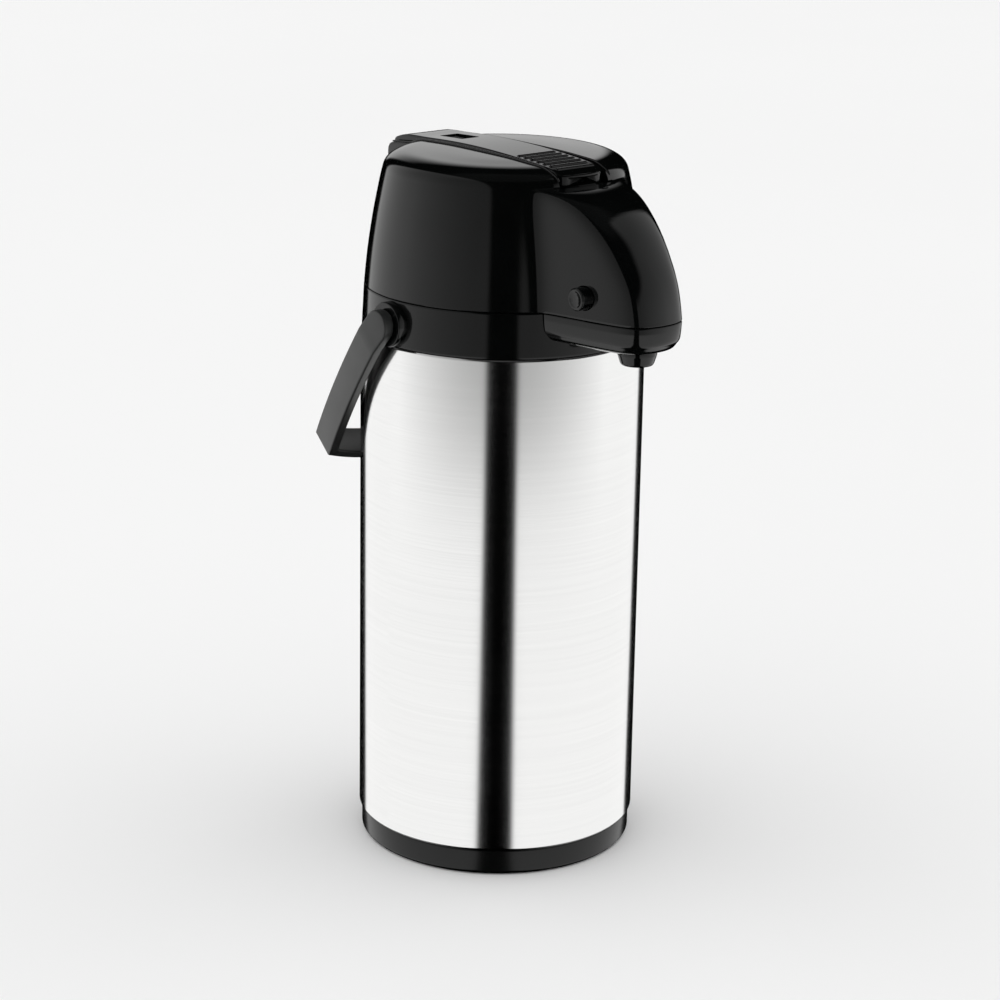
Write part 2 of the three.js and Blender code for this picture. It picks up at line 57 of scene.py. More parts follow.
def make_camera():
    ahead = Vector((-math.sin(AZIMUTH), math.cos(AZIMUTH), 0))
    side = Vector((math.cos(AZIMUTH), math.sin(AZIMUTH), 0))
    look = ahead * math.cos(PITCH) - Vector((0, 0, 1)) * math.sin(PITCH)
    top = ahead * math.sin(PITCH) + Vector((0, 0, 1)) * math.cos(PITCH)
    right = side * math.cos(ROLL) + top * math.sin(ROLL)
    up = top * math.cos(ROLL) - side * math.sin(ROLL)
    data = bpy.data.cameras.new("camera")
    data.lens = FOCAL
    data.sensor_width = 36
    data.clip_end = 60
    cam = bpy.data.objects.new("camera", data)
    bpy.context.scene.collection.objects.link(cam)
    turn = Matrix((right, up, -look)).transposed().to_4x4()
    cam.matrix_world = Matrix.Translation(-ahead * DISTANCE + Vector((0, 0, HEIGHT))) @ turn
    bpy.context.scene.camera = cam


make_camera()

# ---- materials ----


class Nodes:
    """A small helper that adds shader nodes and joins their sockets."""

    def __init__(self, tree):
        self.tree = tree

    def add(self, kind, **settings):
        node = self.tree.nodes.new(kind)
        for key, value in settings.items():
            setattr(node, key, value)
        return node

    def join(self, a, b):
        self.tree.links.new(a, b)

    def put(self, value, socket):
        if isinstance(value, bpy.types.NodeSocket):
            self.join(value, socket)
        else:
            socket.default_value = value

    def math(self, op, a, b=0.0, c=0.0):
        node = self.add("ShaderNodeMath", operation=op)
        for value, socket in zip((a, b, c), node.inputs):
            self.put(value, socket)
        return node.outputs[0]

    def span(self, value, low, high, to_low, to_high, smooth=False):
        node = self.add("ShaderNodeMapRange")
        node.interpolation_type = "SMOOTHSTEP" if smooth else "LINEAR"
        for v, i in ((value, 0), (low, 1), (high, 2), (to_low, 3), (to_high, 4)):
            self.put(v, node.inputs[i])
        return node.outputs[0]

    def noise(self, vector, scale, detail=3.0, rough=0.5):
        node = self.add("ShaderNodeTexNoise")
        self.put(vector, node.inputs["Vector"])
        node.inputs["Scale"].default_value = scale
        node.inputs["Detail"].default_value = detail
        node.inputs["Roughness"].default_value = rough
        return node.outputs["Fac"]

    def mix(self, fac, a, b):
        node = self.add("ShaderNodeMix", data_type="RGBA")
        self.put(fac, node.inputs["Factor"])
        self.put(a, node.inputs[6])
        self.put(b, node.inputs[7])
        return node.outputs[2]

    def vector(self, x, y, z):
        node = self.add("ShaderNodeCombineXYZ")
        for value, socket in zip((x, y, z), node.inputs):
            self.put(value, socket)
        return node.outputs[0]

    def split(self, vector):
        node = self.add("ShaderNodeSeparateXYZ")
        self.join(vector, node.inputs[0])
        return node.outputs

    def bump(self, height, strength, distance):
        node = self.add("ShaderNodeBump")
        node.inputs["Strength"].default_value = strength
        node.inputs["Distance"].default_value = distance
        self.join(height, node.inputs["Height"])
        return node.outputs[0]


def start(name, **fixed):
    """A new material with fixed shader values, its node helper, its shader and the object coordinates."""
    mat = bpy.data.materials.new(name)
    mat.use_nodes = True
    tree = mat.node_tree
    shader = tree.nodes["Principled BSDF"]
    for key, value in fixed.items():
        shader.inputs[key.replace("_", " ")].default_value = value
    n = Nodes(tree)
    place = n.add("ShaderNodeTexCoord").outputs["Object"]
    return mat, n, shader, place


WEAR_STARTS, WEAR_FULL = 0.53, 0.62  # pointiness at which rubbing begins to show, and where it is full


def edge_wear(n):
    """Where the surface turns sharply outwards: corners rub paler."""
    point = n.add("ShaderNodeNewGeometry").outputs["Pointiness"]
    return n.span(point, WEAR_STARTS, WEAR_FULL, 0.0, 1.0)


def plastic(name, tones, rough, spread, grain, depth, wear=0.35, **fixed):
    """Moulded plastic: cloudy between two tones, with smeared gloss, a fine grain and rubbed edges."""
    dark, pale = tones
    mat, n, shader, place = start(name, **fixed)
    cloud = n.noise(place, 22.0, 4.0, 0.6)
    fine = n.noise(place, grain, 2.0, 0.6)
    smear = n.noise(place, 7.0, 5.0, 0.65)
    tone = n.mix(n.span(cloud, 0.3, 0.75, 0.0, 1.0), dark, pale)
    rubbed = [min(3 * c + 0.02, 1) for c in pale[:3]] + [1]
    tone = n.mix(n.math("MULTIPLY", edge_wear(n), wear), tone, rubbed)
    n.join(tone, shader.inputs["Base Color"])
    smeared = n.span(smear, 0.35, 0.7, rough, rough + spread)
    n.join(n.math("ADD", smeared, n.math("MULTIPLY", fine, spread * 0.4)), shader.inputs["Roughness"])
    n.join(n.bump(fine, 0.25, depth), shader.inputs["Normal"])
    return mat


def steel_material():
    """Stainless sheet brushed round the body, with faint polish bands and a few longer scratches."""
    mat, n, shader, place = start("brushed_steel", Metallic=1.0, Anisotropic=0.35, Anisotropic_Rotation=0.25)
    x, y, z = n.split(place)
    angle = n.math("ARCTAN2", y, x)

    def brushed(around, upward, seed, detail, rough):
        """Noise drawn out round the body: cells per radian, cells per metre of height."""
        place = n.vector(n.math("MULTIPLY", angle, around), n.math("MULTIPLY", z, upward), seed)
        return n.noise(place, 1.0, detail, rough)

    fine = brushed(0.5, 2600.0, 0.0, 2.0, 0.7)
    mid = brushed(0.2, 420.0, 3.0, 3.0, 0.6)
    long_wave = brushed(0.6, 14.0, 9.0, 3.0, 0.5)
    shade = n.mix(n.span(mid, 0.3, 0.7, 0.0, 1.0), (0.84, 0.84, 0.836, 1), (0.866, 0.866, 0.862, 1))
    shade = n.mix(n.span(fine, 0.25, 0.75, 0.0, 0.30), shade, (0.74, 0.74, 0.74, 1))
    shade = n.mix(n.span(long_wave, 0.4, 0.8, 0.0, 0.10), shade, (0.90, 0.90, 0.895, 1))
    n.join(shade, shader.inputs["Base Color"])
    rough = n.math("ADD", n.span(fine, 0.2, 0.8, 0.10, 0.17), n.span(long_wave, 0.3, 0.7, 0.0, 0.02))
    n.join(rough, shader.inputs["Roughness"])
    tangent = n.add("ShaderNodeTangent", direction_type="RADIAL", axis="Z")
    n.join(tangent.outputs[0], shader.inputs["Tangent"])
    n.join(n.bump(fine, 0.05, 0.000012), shader.inputs["Normal"])
    return mat


def bright_steel_material():
    """Drawn or turned steel of the pins, screws and springs."""
    mat, n, shader, place = start("bright_steel", Metallic=1.0)
    lines = n.noise(place, 900.0, 2.0, 0.6)
    cloud = n.noise(place, 40.0, 4.0, 0.6)
    shade = n.mix(cloud, (0.62, 0.62, 0.61, 1), (0.82, 0.82, 0.81, 1))
    n.join(shade, shader.inputs["Base Color"])
    n.join(n.span(lines, 0.3, 0.7, 0.16, 0.3), shader.inputs["Roughness"])
    n.join(n.bump(lines, 0.1, 0.00003), shader.inputs["Normal"])
    return mat


SATIN_TONES = (0.010, 0.0105, 0.0105, 1), (0.018, 0.019, 0.0185, 1)
RUBBER_TONES = (0.014, 0.014, 0.014, 1), (0.024, 0.024, 0.024, 1)
GLOSS = plastic("gloss_black", ((0.0012, 0.0014, 0.0014, 1), (0.0024, 0.0028, 0.0027, 1)),
                rough=0.055, spread=0.05, grain=700.0, depth=0.000012, wear=0.25, IOR=1.5, Specular_IOR_Level=0.40)
SATIN = plastic("satin_black", SATIN_TONES, rough=0.27, spread=0.12, grain=900.0, depth=0.00004, IOR=1.5)
SATIN_INSIDE = plastic("satin_black_inside", SATIN_TONES, rough=0.30, spread=0.12, grain=900.0, depth=0.00004,
                       wear=0.0, IOR=1.5)
RUBBER = plastic("black_rubber", RUBBER_TONES, rough=0.55, spread=0.2, grain=1100.0, depth=0.00006)
RUBBER_INSIDE = plastic("rubber_inside", RUBBER_TONES, rough=0.55, spread=0.2, grain=1100.0, depth=0.00006,
                        wear=0.0)
WHITE = plastic("white_plastic", ((0.72, 0.72, 0.70, 1), (0.80, 0.80, 0.78, 1)),
                rough=0.33, spread=0.12, grain=600.0, depth=0.00003, wear=0.0)
SILICONE = plastic("silicone", ((0.55, 0.55, 0.53, 1), (0.64, 0.64, 0.62, 1)),
                   rough=0.42, spread=0.15, grain=500.0, depth=0.00003, wear=0.0)
GLASS = plastic("silvered_glass", ((0.66, 0.68, 0.70, 1), (0.78, 0.80, 0.82, 1)),
                rough=0.05, spread=0.04, grain=200.0, depth=0.00002, wear=0.0, Metallic=1.0)
BASE_BLACK = plastic("base_black", ((0.002, 0.0022, 0.0022, 1), (0.004, 0.0043, 0.0043, 1)),
                     rough=0.13, spread=0.08, grain=900.0, depth=0.00003, wear=0.25, IOR=1.5,
                     Specular_IOR_Level=0.32)
STEEL = steel_material()
BRIGHT = bright_steel_material()
# what the CAD parts that keep their own meshes wear; their large flat faces take no edge wear
CARRIED_FINISH = {
    "brushed_casing": STEEL, "gloss_black": GLOSS, "satin_black": SATIN_INSIDE, "white_plastic": WHITE,
    "black_rubber": RUBBER_INSIDE, "silicone": SILICONE, "flask_glass": GLASS, "bright_steel": BRIGHT,
}
SLOT_OF = {part["node"]: part["material_slot"] for part in frame["record"]["subparts"]}
BODY = {name: body for body, facts in frame["record"]["behaviour"]["bodies"].items()
        for name in (facts["nodes"] if isinstance(facts, dict) else facts)}

# ---- making meshes ----
CREASE = 35  # degrees: an edge sharper than this is shaded as an edge
WELD, SPECK = 2e-6, 1e-6  # metres: points closer than this are one point, edges shorter than this are dropped


def made(name, verts, faces, body=None, material=SATIN, replaces=(), crease=CREASE):
    """A piece, or with no body a tool, from points in millimetres."""
    mesh = bpy.data.meshes.new(name)
    mesh.from_pydata([(x * MM, y * MM, z * MM) for x, y, z in verts], [], faces)
    obj = bpy.data.objects.new(name, mesh)
    bpy.context.scene.collection.objects.link(obj)
    finish(obj, body, material, replaces, crease)
    return obj


def shade(data, crease):
    data.polygons.foreach_set("use_smooth", [True] * len(data.polygons))
    data.set_sharp_from_angle(angle=math.radians(crease))


def tidy(obj, crease):
    mesh = bmesh.new()
    mesh.from_mesh(obj.data)
    bmesh.ops.remove_doubles(mesh, verts=mesh.verts, dist=WELD)
    bmesh.ops.dissolve_degenerate(mesh, edges=mesh.edges, dist=SPECK)
    bmesh.ops.recalc_face_normals(mesh, faces=mesh.faces)
    mesh.to_mesh(obj.data)
    mesh.free()
    shade(obj.data, crease)


def finish(obj, body, material, replaces, crease):
    """Cleans a piece, gives it its material and body, and hides the CAD parts it stands for."""
    tidy(obj, crease)
    obj.data.materials.clear()
    obj.data.materials.append(material)
    if body:
        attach(obj, body)
    if replaces:
        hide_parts(*replaces)


def bake(obj):
    """Replaces the mesh with what its modifiers make of it."""
    graph = bpy.context.evaluated_depsgraph_get()
    mesh = bpy.data.meshes.new_from_object(obj.evaluated_get(graph))
    obj.modifiers.clear()
    obj.data = mesh
    tidy(obj, CREASE)


def carve(obj, *tools, how="DIFFERENCE"):
    """Cuts away what the tools cover, or joins them on, and removes the tools."""
    for tool in tools:
        mod = obj.modifiers.new("carve", "BOOLEAN")
        mod.operation, mod.solver, mod.object = how, "EXACT", tool
    bpy.context.view_layer.update()
    bake(obj)
    for tool in tools:
        bpy.data.objects.remove(tool)


def bevel(obj, width, steps):
    """Rounds the edges that turn by more than 50 degrees."""
    mod = obj.modifiers.new("bevel", "BEVEL")
    mod.width, mod.segments, mod.angle_limit = width * MM, steps, math.radians(50)
    mod.limit_method, mod.use_clamp_overlap = "ANGLE", True
    bpy.context.view_layer.update()
    bake(obj)


def strips(loops, closed_ends=True):
    """Points and faces of a skin over closed loops of the same length, with a fan over each end."""
    n = len(loops[0])
    verts = [tuple(p) for loop in loops for p in loop]
    faces = []
    for row in range(len(loops) - 1):
        for i in range(n):
            j = (i + 1) % n
            faces.append((row * n + i, row * n + j, (row + 1) * n + j, (row + 1) * n + i))
    if closed_ends:
        for row in (0, len(loops) - 1):
            centre = np.mean(np.array(loops[row]), axis=0)
            verts.append(tuple(centre))
            k = len(verts) - 1
            for i in range(n):
                a, b = row * n + i, row * n + (i + 1) % n
                faces.append((k, a, b) if row else (k, b, a))
    return verts, faces


def rounded(points, radius, closed=False, steps=5):
    """A flat line with its corners rounded; a point may carry its own radius as a third number."""
    out = []
    n = len(points)
    for i, p in enumerate(points):
        r = p[2] if len(p) > 2 else radius
        if (not closed and i in (0, n - 1)) or r <= 0:
            out.append(tuple(p[:2]))
            continue
        here = np.array(p[:2], float)
        a = np.array(points[i - 1][:2], float) - here
        b = np.array(points[(i + 1) % n][:2], float) - here
        la, lb = np.linalg.norm(a), np.linalg.norm(b)
        a, b = a / la, b / lb
        half = math.acos(max(-1, min(1, float(a @ b)))) / 2
        if half > math.radians(88):  # nearly straight: nothing to round
            out.append(tuple(here))
            continue
        back = min(r / math.tan(half), la * 0.48, lb * 0.48)  # a corner never takes half a side
        for t in np.linspace(0, 1, steps + 1):
            q = here + a * back * (1 - t) ** 2 + b * back * t ** 2
            out.append(tuple(q))
    return out


def lathe(name, profile, body=None, material=SATIN, replaces=(), radius=0.4, sides=128,
          at=(0, 0, 0), axis="z", crease=CREASE):
    """A profile of (radius, height) turned about an axis: solid if it starts on the axis, else a ring."""
    solid_core = profile[0][0] == 0
    line = rounded(profile, radius, closed=not solid_core)
    if solid_core:
        line = line[1:-1] if line[-1][0] == 0 else line[1:]
    loops = []
    for r, h in line:
        ring = []
        for i in range(sides):
            t = 2 * math.pi * i / sides
            x, y, z = r * math.cos(t), r * math.sin(t), h
            if axis == "x":
                x, y, z = z, x, y
            if axis == "y":
                x, y, z = y, z, x
            ring.append((x + at[0], y + at[1], z + at[2]))
        loops.append(ring)
    if not solid_core:
        loops.append(loops[0])
    verts, faces = strips(loops, closed_ends=solid_core)
    return made(name, verts, faces, body, material, replaces, crease)


def block(x0, x1, y0, y1, z0, z1):
    verts = [(x, y, z) for x in (x0, x1) for y in (y0, y1) for z in (z0, z1)]
    faces = [(0, 1, 3, 2), (4, 6, 7, 5), (0, 4, 5, 1), (2, 3, 7, 6), (0, 2, 6, 4), (1, 5, 7, 3)]
    return made("tool", verts, faces)


def drum(radius, length, axis, x, y, z, sides=96):
    half = length / 2
    profile = [(0, -half), (radius, -half), (radius, half), (0, half)]
    return lathe("tool", profile, radius=0, sides=sides, at=(x, y, z), axis=axis)


def prism(shape, x0, x1):
    """A flat shape of (y, z) points pushed along X."""
    n = len(shape)
    verts = [(x0, y, z) for y, z in shape] + [(x1, y, z) for y, z in shape]
    faces = [tuple(range(n)), tuple(range(2 * n - 1, n - 1, -1))]
    faces += [(i, n + i, n + (i + 1) % n, (i + 1) % n) for i in range(n)]
    return made("tool", verts, faces)


def spline(knots, at):
    """Natural cubic through rows of numbers, the first number in each row being where it lies."""
    rows = np.array(knots, float)
    t, v = rows[:, 0], rows[:, 1:]
    n, h = len(t), np.diff(t)
    a = np.zeros((n, n))
    b = np.zeros((n, v.shape[1]))
    a[0, 0] = a[-1, -1] = 1
    for i in range(1, n - 1):
        a[i, i - 1 : i + 2] = h[i - 1], 2 * (h[i - 1] + h[i]), h[i]
        b[i] = 6 * ((v[i + 1] - v[i]) / h[i] - (v[i] - v[i - 1]) / h[i - 1])
    m = np.linalg.solve(a, b)
    k = np.clip(np.searchsorted(t, at) - 1, 0, n - 2)
    at = np.asarray(at, float)
    past, left, gap = (at - t[k])[:, None], (t[k + 1] - at)[:, None], h[k][:, None]
    bend = (m[k] * left ** 3 + m[k + 1] * past ** 3) / (6 * gap)
    return bend + (v[k] / gap - m[k] * gap / 6) * left + (v[k + 1] / gap - m[k + 1] * gap / 6) * past


def along(rows, count):
    """Rows resampled evenly along the line that they draw."""
    rows = np.array(rows, float)
    steps = np.sqrt((np.diff(rows, axis=0) ** 2).sum(1))
    t = np.concatenate([[0], np.cumsum(steps)])
    return spline(np.column_stack([t, rows]), np.linspace(0, t[-1], count))


# ---- the head's plan outline: a circle blended with a tapered beak ----
TAPER = 0.225  # how far each of the beak's sides comes in for each millimetre forward
ROOT = 66  # how far in front of the axis the beak's half width is measured
BULGE, BULGE_X = 11.6, 30  # the nose is bowed: so far back, at so far from the middle
CORNER, BLEND = 22, 26  # how tightly the beak's corners turn, and how tightly it joins the round part


def reach(angle, R, F, W):
    """The outline's distance from the axis: R round part's radius, F beak's reach, W its half width."""
    s, c = abs(math.sin(angle)), math.cos(angle)
    if c < 0.05 or F <= 0:
        return R
    side = (W + ROOT * TAPER) / max(s + TAPER * c, 1e-3)
    q = BULGE * s * s / BULGE_X ** 2
    nose = 2 * F / (c + math.sqrt(c * c + 4 * q * F))
    beak = (side ** -CORNER + nose ** -CORNER) ** (-1 / CORNER)
    return (R ** BLEND + beak ** BLEND) ** (1 / BLEND)


# degrees round from the beak, closer together over the beak
HALF = list(np.arange(0, 42, 0.8)) + list(np.arange(42, 180, 2.4))
ANGLES = [math.radians(a) for a in HALF + [180] + [-a for a in HALF[:0:-1]]]


def outline(z, R, F, W):
    ring = []
    for a in ANGLES:
        r = reach(a, R, F, W)
        ring.append((r * math.sin(a), -r * math.cos(a), z))
    return ring


# height, round part's radius, beak's reach, beak's half width at its root
HEAD = [
    (314, 75.2, 127.8, 32.3), (324, 74.3, 125.9, 31.9), (334, 73.2, 122.6, 31.4), (344, 71.8, 117, 30.8),
    (354, 70.2, 109.8, 30.1), (363, 68.5, 101, 29.3), (370, 67.1, 91.5, 28.4), (374, 66.2, 82, 27.6),
    (375.6, 65.8, 73.5, 27), (376.4, 65.6, 64, 26), (377.2, 65.4, 50, 24), (380.6, 63.6, 48, 24),
    (383, 60.4, 46, 22), (384.7, 56, 42, 20), (385.7, 47, 36, 18), (386.3, 34, 26, 12), (386.6, 16, 12, 6),
]
ROUND_Z = 377  # above this height the head is round
HEAD_Z, WALL = 314, 2.4  # the seam under the head, and the head's wall
SEAM_Z = 313.7  # top of the collar and of the spout's lower half
PIVOT_Z = 301.2  # the handle's pivots
HINGE_Y, HINGE_Z = 81.3, 309  # the lid's hinge
KNUCKLE_R = 4.3
PIN_Y, PIN_Z = 68, 374  # the lever's pin
BORE_R, BORE_LENGTH = 2.2, 60  # holes of the hinge pin and the lever's pin
SLOT_X, SLOT_FRONT = 16.7, -65.2  # half width and front end of the lever's slot
BUTTON_Y, BUTTON_Z, BUTTON_R = -94, 325.6, 6


def levels(rows, dome_count, beak_count):
    """The head's rows filled in smoothly: the round part on its own line, the beak on its own."""
    points = 500
    dome = along([(z, r) for z, r, f, w in rows], points)
    beak = along([(z, f, w) for z, r, f, w in rows if z < ROUND_Z], points)
    heights = {round(float(z), 3) for z in dome[:: points // dome_count, 0]}
    heights |= {round(float(z), 3) for z in beak[:: points // beak_count, 0]}
    heights |= {round(float(dome[-1, 0]), 3)}
    out = []
    for z in sorted(heights):
        r = float(np.interp(z, dome[:, 0], dome[:, 1]))
        f = float(np.interp(z, beak[:, 0], beak[:, 1])) if z <= beak[-1, 0] else 0.0
        out.append((z, r, f, float(np.interp(z, beak[:, 0], beak[:, 2]))))
    return out


FINE = levels(HEAD, 70, 70)
DOME = [(r, z) for z, r, f, w in FINE if z > ROUND_Z][::-1]


def dome_z(x, y):
    """The dome's height over a place."""
    return float(np.interp(math.hypot(x, y), *zip(*DOME)))


# ---- head ----
CROWN_Z, CROWN_BLEND = 360, 24  # from here up, an inset skin also drops, fully so this much higher


def skin(rows, inset, bottom_rows):
    """The head's skin, inset all round, over bottom rows of (height, inset)."""
    loops = [outline(z, HEAD[0][1] - i, HEAD[0][2] - i, HEAD[0][3] - i) for z, i in bottom_rows]
    for z, r, f, w in rows:
        t = min(max((z - CROWN_Z) / CROWN_BLEND, 0), 1)
        drop = inset * t * t * (3 - 2 * t)
        if z > bottom_rows[-1][0] + 0.3:
            loops.append(outline(z - drop, r - inset, f - inset, w - inset))
    return strips(loops)


def spine(x, y, top, low):
    """The block down the back of the head, its top sloping up to the dome."""
    start = 28
    side = [(start, low), (y, low, 0.6), (y, top - 0.1, 5.5), (start, top + 4.7)]
    return prism(rounded(side, 0, steps=8), -x, x)


def head():
    verts, faces = skin(FINE, 0, [(314, 0.75), (314.06, 0.45), (314.22, 0.2), (314.5, 0.05)])
    shell = made("head_shell", verts, faces, material=GLOSS)
    verts, faces = skin(levels(HEAD, 30, 25), WALL, [(308, WALL)])
    inner = made("tool", verts, faces)
    back = spine(19.5, 77.6, 381, HEAD_Z + 0.3)
    bevel(back, 1.0, 3)
    carve(shell, back, how="UNION")
    carve(
        shell, inner,
        spine(17, 75.1, 377.6, 310),
        block(-SLOT_X, SLOT_X, SLOT_FRONT, 90, 372, 400),
        block(-SLOT_X + 0.01, SLOT_X - 0.01, -90, 0, 377, 400),
        block(-SLOT_X, SLOT_X, 58, 90, 366, 399),
        drum(BUTTON_R + 0.5, 80, "x", 0, BUTTON_Y, BUTTON_Z),
    )
    knuckle = drum(KNUCKLE_R, 23.2, "x", 0, HINGE_Y, HINGE_Z, 48)
    carve(shell, block(-11.6, 11.6, 76.9, 80.4, HINGE_Z, 332), knuckle, how="UNION")
    carve(shell, drum(BORE_R, BORE_LENGTH, "x", 0, HINGE_Y, HINGE_Z, 32))
    finish(shell, "lid", GLOSS, ["head_cover"], 32)


def tube(name, points, radius, body, material, replaces=(), sides=16):
    """A round bead along a path of points, with closed ends."""
    pts = [Vector(p) for p in points]
    loops = []
    for i, p in enumerate(pts):
        way = (pts[min(i + 1, len(pts) - 1)] - pts[max(i - 1, 0)]).normalized()
        side = Vector((1, 0, 0)) if abs(way.x) < 0.9 else Vector((0, 1, 0))
        up = side.cross(way).normalized()
        side = way.cross(up).normalized()
        end = min(i, len(pts) - 1 - i)
        r = radius * (0.5, 0.85, 1.0)[min(end, 2)]
        loops.append([p + side * r * math.cos(t) + up * r * math.sin(t)
                      for t in np.linspace(0, 2 * math.pi, sides, endpoint=False)])
    verts, faces = strips(loops)
    return made(name, verts, faces, body, material, replaces)


def beads():
    """The bead along each side of the lever's slot, turned down over the shoulder at the front."""
    proud = 0.25
    turned_down = [(-59, 382.8), (-60.6, 382.1), (-62, 381.3), (-62.9, 380.6), (-63.4, 379.8)]

    def spine_z(y):
        """The spine's sloping top, where it stands above the dome."""
        return 381.4 + (72.6 - y) * 0.0962 if y > 34 else 0

    for side, name in ((-1, "slot_bead_left"), (1, "slot_bead_right")):
        x = side * (SLOT_X + 0.75)
        line = [(x, y, max(dome_z(x, y), spine_z(y)) + proud) for y in np.arange(75.8, -57.5, -1.0)]
        line += [(x, y, z) for y, z in turned_down]
        tube(name, along(line, 170), 0.62, "lid", GLOSS)


# ---- lever ----
# y and height along the lever's crown, from its rear end to its front end
LEVER_LINE = [(77.2, 383), (72, 384.9), (56, 386.6), (36, 387.5), (8, 388), (-24, 387), (-46, 385.6), (-57, 384),
              (-62.4, 382.2)]
LEVER_X, LEVER_LOW = 15.6, 375.0  # half width and underside
RIBS, RIB_HALF, RIB_HIGH = [-25 - 5.1 * i for i in range(7)], 1.15, 0.75
RIB_X, RIB_FADE = 12.75, 0.8  # the ribs' half length, and how much of it they rise over
TOP_EDGE, LOW_EDGE = 1.3, 0.8  # radii of the lever's long edges


def sag(t):
    """How far a quarter circle of radius 1 has dropped at t across."""
    return 1 - math.sqrt(max(1 - t * t, 0))


def arc(x, y, z, r, first, last, count):
    """Points round an edge across Y, between two angles counted in quarter turns."""
    return [(x + r * math.cos(t), y, z + r * math.sin(t))
            for t in np.linspace(first * math.pi / 2, last * math.pi / 2, count)]


def across(half):
    """Places across the lever, close together where the ribs end."""
    if half < 12.95:
        return np.linspace(-half, half, 40)
    return np.concatenate([np.linspace(-half, -12.9, 6), np.linspace(-12.75, -11.9, 7),
                           np.linspace(-11.5, 11.5, 14), np.linspace(11.9, 12.75, 7),
                           np.linspace(12.9, half, 6)])


def lever_section(y, top):
    """The lever's closed section: ribbed top, rounded long edges, ends drawn in and bowed front."""
    front, rear = max(0.0, -60.2 - y) / 4.0, max(0.0, y - 75.4) / 1.8
    width = LEVER_X - 4.6 * sag(front) - 0.9 * sag(rear)
    if y < -62.4:
        top = 382.2 - 1.1 * sag((-62.4 - y) / 1.8)
    if y > 75.4:
        top -= 0.6 * sag(rear)
    low = LEVER_LOW if y < 62 else LEVER_LOW + 2.6 * (y - 62) / 15.2
    rib = max((1 - ((y - c) / RIB_HALF) ** 2 for c in RIBS), default=0)
    rib = RIB_HIGH * math.sqrt(max(rib, 0))
    ring = arc(-width + TOP_EDGE, y, top - TOP_EDGE, TOP_EDGE, 2, 1, 6)
    for x in across(width - TOP_EDGE)[1:-1]:
        mask = min(max((RIB_X - abs(x)) / RIB_FADE, 0), 1)
        ring.append((x, y, top + rib * math.sqrt(mask)))
    ring += arc(width - TOP_EDGE, y, top - TOP_EDGE, TOP_EDGE, 1, 0, 6)
    ring += arc(width - LOW_EDGE, y, low + LOW_EDGE, LOW_EDGE, 0, -1, 4)
    ring += arc(-width + LOW_EDGE, y, low + LOW_EDGE, LOW_EDGE, -1, -2, 4)
    bow = min(max((-57 - y) / 7.2, 0), 1)
    return [(px, py + bow * px * px / 64, pz) for px, py, pz in ring]


def lever():
    crown = along(LEVER_LINE, 400)[::-1]
    ys = sorted(set(np.round(np.concatenate([
        np.arange(-62.5, -18, 0.25), np.arange(-18, 77.2, 1.2), [-64.2, -64.1, -63.9, -63.6, -63.2, -62.8],
        [77.2, 77.1, 76.8, 76.3, 75.6],
    ]), 3)))
    loops = [lever_section(y, float(np.interp(y, crown[:, 0], crown[:, 1]))) for y in ys]
    for at, end in ((0, loops[0]), (len(loops) + 1, loops[-1])):  # a smaller loop inside each flat end
        centre = np.mean(np.array(end), axis=0)
        loops.insert(at, [tuple(centre + (np.array(p) - centre) * 0.85) for p in end])
    verts, faces = strips(loops)
    cap = made("lever_cap", verts, faces, material=GLOSS)
    window = block(-6.3, 6.3, 29.5, 49, 383.6, 395)
    bevel(window, 1.1, 4)
    carve(cap, window)
    carve(cap, block(-2.4, 2.4, 31, 47.6, 370, 384))
    hub = drum(5.2, 2 * LEVER_X - 0.4, "x", 0, PIN_Y, PIN_Z, 64)
    carve(cap, hub, block(-5, 5, -8, 8, 370.4, 380), how="UNION")
    carve(cap, drum(BORE_R, BORE_LENGTH, "x", 0, PIN_Y, PIN_Z, 32))
    finish(cap, "pump_lever", GLOSS, ["lever"], 40)


def slider():
    """The lock's slider, with three small grip ridges."""
    body = block(-5.9, 5.9, 39.2, 48.6, 384, 385.3)
    bevel(body, 0.5, 3)
    ridges = []
    for y in (41.4, 43.9, 46.4):
        ridge = drum(0.62, 8.6, "x", 0, y, 385.3, 20)
        bevel(ridge, 0.2, 2)
        ridges.append(ridge)
    carve(body, block(-2, 2, 42.4, 45.4, 378, 385), *ridges, how="UNION")
    body.name = "lock_tab"
    finish(body, "lock", SATIN, ["lock_slider"], 40)


# ---- collar, spout and nozzle ----
PIVOT_R = 4.2  # holes for the handle's pivot pins
LUG_X, LUG_WIDTH = 15.5, 7  # the collar's two hinge ears
NOZZLE_Y, SCREW_X = -107.5, 20


def pair(radius, length, x):
    """A drum on each side, on the handle's pivot line."""
    return [drum(radius, length, "x", side * x, 0, PIVOT_Z, 48) for side in (-1, 1)]


